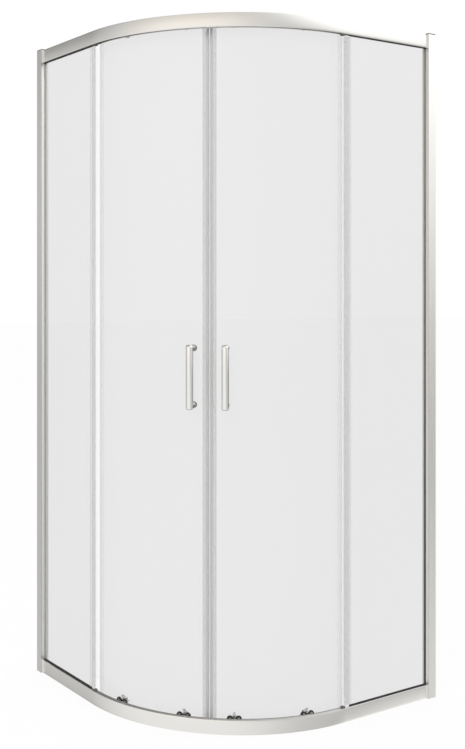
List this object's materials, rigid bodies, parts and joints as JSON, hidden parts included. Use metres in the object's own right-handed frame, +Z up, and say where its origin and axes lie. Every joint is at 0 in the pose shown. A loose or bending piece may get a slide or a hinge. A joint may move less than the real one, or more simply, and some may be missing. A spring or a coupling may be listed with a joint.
{
  "type": "quadrant shower enclosure",
  "caption": "Corner shower enclosure with a curved front: flat fixed side panes, curved sliding doors with bar handles, satin rails and wall channels.",
  "frame": {"origin": "middle of the bounding box at tray level", "axes": "+Z up; the walls are the planes x = -0.445 and y = +0.445; the curved front faces +X and -Y"},
  "size_m": [0.89, 0.89, 2],
  "materials": {
    "satin_rail": "bright satin anodised",
    "satin_channel": "satin anodised",
    "grey_cap": "moulded",
    "white_cap": "moulded",
    "black_rubber": "extruded",
    "dark_block": "moulded",
    "steel_screw": "plain",
    "clear_glass": "clear toughened, polished edges",
    "clear_strip": "translucent extruded",
    "magnet": "flexible magnet",
    "chrome_handle": "polished",
    "clear_washer": "translucent",
    "chrome_cap": "polished",
    "roller_metal": "plated",
    "pale_plastic": "moulded",
    "dark_wheel": "moulded",
    "spring_steel": "drawn wire"
  },
  "bodies": {
    "frame": {"bottom_rail": "satin_rail", "channel_caps": "grey_cap", "door_bumpers": "black_rubber", "glass_stop_blocks": "dark_block", "glazing_beads": "satin_channel", "glazing_gaskets": "black_rubber", "groove_cover": "satin_rail", "jack_screws": "steel_screw", "jamb_screw_caps": "white_cap", "jamb_screws": "steel_screw", "left_fixed_glass": "clear_glass", "left_fixed_seal": "clear_strip", "left_jamb": "satin_channel", "left_wall_channel": "satin_channel", "rail_screws": "steel_screw", "right_fixed_glass": "clear_glass", "right_fixed_seal": "clear_strip", "right_jamb": "satin_channel", "right_wall_channel": "satin_channel", "top_rail": "satin_rail"},
    "left_door": {"left_door_glass": "clear_glass", "left_magnet_strip": "clear_strip", "left_magnet_bar": "magnet", "left_tail_seal": "clear_strip", "left_handle": "chrome_handle", "left_handle_washers": "clear_washer", "left_handle_screws": "chrome_cap", "left_roller_hangers": "roller_metal", "left_roller_mounts": "pale_plastic", "left_cap_nuts": "chrome_cap", "left_release_spring_tail": "spring_steel", "left_release_spring_lead": "spring_steel"},
    "left_lower_carriage_tail": {"left_carriage_tail": "roller_metal"},
    "left_upper_wheel_tail": {"left_upper_wheel_tail": "dark_wheel"},
    "left_lower_wheel_tail_1": {"left_lower_wheel_tail_1": "dark_wheel"},
    "left_lower_wheel_tail_2": {"left_lower_wheel_tail_2": "dark_wheel"},
    "left_lower_carriage_lead": {"left_carriage_lead": "roller_metal"},
    "left_upper_wheel_lead": {"left_upper_wheel_lead": "dark_wheel"},
    "left_lower_wheel_lead_1": {"left_lower_wheel_lead_1": "dark_wheel"},
    "left_lower_wheel_lead_2": {"left_lower_wheel_lead_2": "dark_wheel"},
    "right_door": {"right_door_glass": "clear_glass", "right_magnet_strip": "clear_strip", "right_magnet_bar": "magnet", "right_tail_seal": "clear_strip", "right_handle": "chrome_handle", "right_handle_washers": "clear_washer", "right_handle_screws": "chrome_cap", "right_roller_hangers": "roller_metal", "right_roller_mounts": "pale_plastic", "right_cap_nuts": "chrome_cap", "right_release_spring_tail": "spring_steel", "right_release_spring_lead": "spring_steel"},
    "right_lower_carriage_tail": {"right_carriage_tail": "roller_metal"},
    "right_upper_wheel_tail": {"right_upper_wheel_tail": "dark_wheel"},
    "right_lower_wheel_tail_1": {"right_lower_wheel_tail_1": "dark_wheel"},
    "right_lower_wheel_tail_2": {"right_lower_wheel_tail_2": "dark_wheel"},
    "right_lower_carriage_lead": {"right_carriage_lead": "roller_metal"},
    "right_upper_wheel_lead": {"right_upper_wheel_lead": "dark_wheel"},
    "right_lower_wheel_lead_1": {"right_lower_wheel_lead_1": "dark_wheel"},
    "right_lower_wheel_lead_2": {"right_lower_wheel_lead_2": "dark_wheel"}
  },
  "joints": [
    {"name": "left_door_travel", "type": "hinge", "parent": "frame", "child": "left_door", "pos_m": [-0.1186, 0.1814, 0], "axis": [0, 0, -1], "range_deg": [0, 23.47]},
    {"name": "left_release_tail", "type": "slide", "parent": "left_door", "child": "left_lower_carriage_tail", "axis": [0, 0, 1], "range_m": [0, 0.004], "stiffness_N_per_m": 400, "springref_m": -0.003, "deforming": ["left_release_spring_tail"]},
    {"name": "left_upper_wheel_tail_spin", "type": "hinge", "parent": "left_door", "child": "left_upper_wheel_tail", "pos_m": [0.02303, -0.40239, 1.9749], "axis": [0.2215, -0.9751, 0], "range_deg": [0, 1287]},
    {"name": "left_lower_wheel_tail_1_spin", "type": "hinge", "parent": "left_lower_carriage_tail", "child": "left_lower_wheel_tail_1", "pos_m": [0.01133, -0.40505, 0.0363], "axis": [0.2215, -0.9751, 0], "range_deg": [0, 1572]},
    {"name": "left_lower_wheel_tail_2_spin", "type": "hinge", "parent": "left_lower_carriage_tail", "child": "left_lower_wheel_tail_2", "pos_m": [0.03473, -0.39973, 0.0363], "axis": [0.2215, -0.9751, 0], "range_deg": [0, 1573]},
    {"name": "left_release_lead", "type": "slide", "parent": "left_door", "child": "left_lower_carriage_lead", "axis": [0, 0, 1], "range_m": [0, 0.004], "stiffness_N_per_m": 400, "springref_m": -0.003, "deforming": ["left_release_spring_lead"]},
    {"name": "left_upper_wheel_lead_spin", "type": "hinge", "parent": "left_door", "child": "left_upper_wheel_lead", "pos_m": [0.21305, -0.31459, 1.9749], "axis": [0.599, -0.8007, 0], "range_deg": [0, 1279]},
    {"name": "left_lower_wheel_lead_1_spin", "type": "hinge", "parent": "left_lower_carriage_lead", "child": "left_lower_wheel_lead_1", "pos_m": [0.20344, -0.32178, 0.0363], "axis": [0.599, -0.8007, 0], "range_deg": [0, 1563]},
    {"name": "left_lower_wheel_lead_2_spin", "type": "hinge", "parent": "left_lower_carriage_lead", "child": "left_lower_wheel_lead_2", "pos_m": [0.22266, -0.3074, 0.0363], "axis": [0.599, -0.8007, 0], "range_deg": [0, 1560]},
    {"name": "right_door_travel", "type": "hinge", "parent": "frame", "child": "right_door", "pos_m": [-0.1814, 0.1186, 0], "axis": [0, 0, 1], "range_deg": [0, 23.47]},
    {"name": "right_release_tail", "type": "slide", "parent": "right_door", "child": "right_lower_carriage_tail", "axis": [0, 0, 1], "range_m": [0, 0.004], "stiffness_N_per_m": 400, "springref_m": -0.003, "deforming": ["right_release_spring_tail"]},
    {"name": "right_upper_wheel_tail_spin", "type": "hinge", "parent": "right_door", "child": "right_upper_wheel_tail", "pos_m": [0.40239, -0.02303, 1.9749], "axis": [-0.9751, 0.2215, 0], "range_deg": [0, 1287]},
    {"name": "right_lower_wheel_tail_1_spin", "type": "hinge", "parent": "right_lower_carriage_tail", "child": "right_lower_wheel_tail_1", "pos_m": [0.40505, -0.01133, 0.0363], "axis": [-0.9751, 0.2215, 0], "range_deg": [0, 1572]},
    {"name": "right_lower_wheel_tail_2_spin", "type": "hinge", "parent": "right_lower_carriage_tail", "child": "right_lower_wheel_tail_2", "pos_m": [0.39973, -0.03473, 0.0363], "axis": [-0.9751, 0.2215, 0], "range_deg": [0, 1573]},
    {"name": "right_release_lead", "type": "slide", "parent": "right_door", "child": "right_lower_carriage_lead", "axis": [0, 0, 1], "range_m": [0, 0.004], "stiffness_N_per_m": 400, "springref_m": -0.003, "deforming": ["right_release_spring_lead"]},
    {"name": "right_upper_wheel_lead_spin", "type": "hinge", "parent": "right_door", "child": "right_upper_wheel_lead", "pos_m": [0.31459, -0.21305, 1.9749], "axis": [-0.8007, 0.599, 0], "range_deg": [0, 1279]},
    {"name": "right_lower_wheel_lead_1_spin", "type": "hinge", "parent": "right_lower_carriage_lead", "child": "right_lower_wheel_lead_1", "pos_m": [0.32178, -0.20344, 0.0363], "axis": [-0.8007, 0.599, 0], "range_deg": [0, 1563]},
    {"name": "right_lower_wheel_lead_2_spin", "type": "hinge", "parent": "right_lower_carriage_lead", "child": "right_lower_wheel_lead_2", "pos_m": [0.3074, -0.22266, 0.0363], "axis": [-0.8007, 0.599, 0], "range_deg": [0, 1560]}
  ],
  "couplings": [
    {"joint": "left_upper_wheel_tail_spin", "follows": "left_door_travel", "ratio": 54.611},
    {"joint": "left_lower_wheel_tail_1_spin", "follows": "left_door_travel", "ratio": 66.741},
    {"joint": "left_lower_wheel_tail_2_spin", "follows": "left_door_travel", "ratio": 66.78},
    {"joint": "left_upper_wheel_lead_spin", "follows": "left_door_travel", "ratio": 54.241},
    {"joint": "left_lower_wheel_lead_1_spin", "follows": "left_door_travel", "ratio": 66.379},
    {"joint": "left_lower_wheel_lead_2_spin", "follows": "left_door_travel", "ratio": 66.238},
    {"joint": "right_upper_wheel_tail_spin", "follows": "right_door_travel", "ratio": 54.611},
    {"joint": "right_lower_wheel_tail_1_spin", "follows": "right_door_travel", "ratio": 66.741},
    {"joint": "right_lower_wheel_tail_2_spin", "follows": "right_door_travel", "ratio": 66.78},
    {"joint": "right_upper_wheel_lead_spin", "follows": "right_door_travel", "ratio": 54.241},
    {"joint": "right_lower_wheel_lead_1_spin", "follows": "right_door_travel", "ratio": 66.379},
    {"joint": "right_lower_wheel_lead_2_spin", "follows": "right_door_travel", "ratio": 66.238}
  ]
}
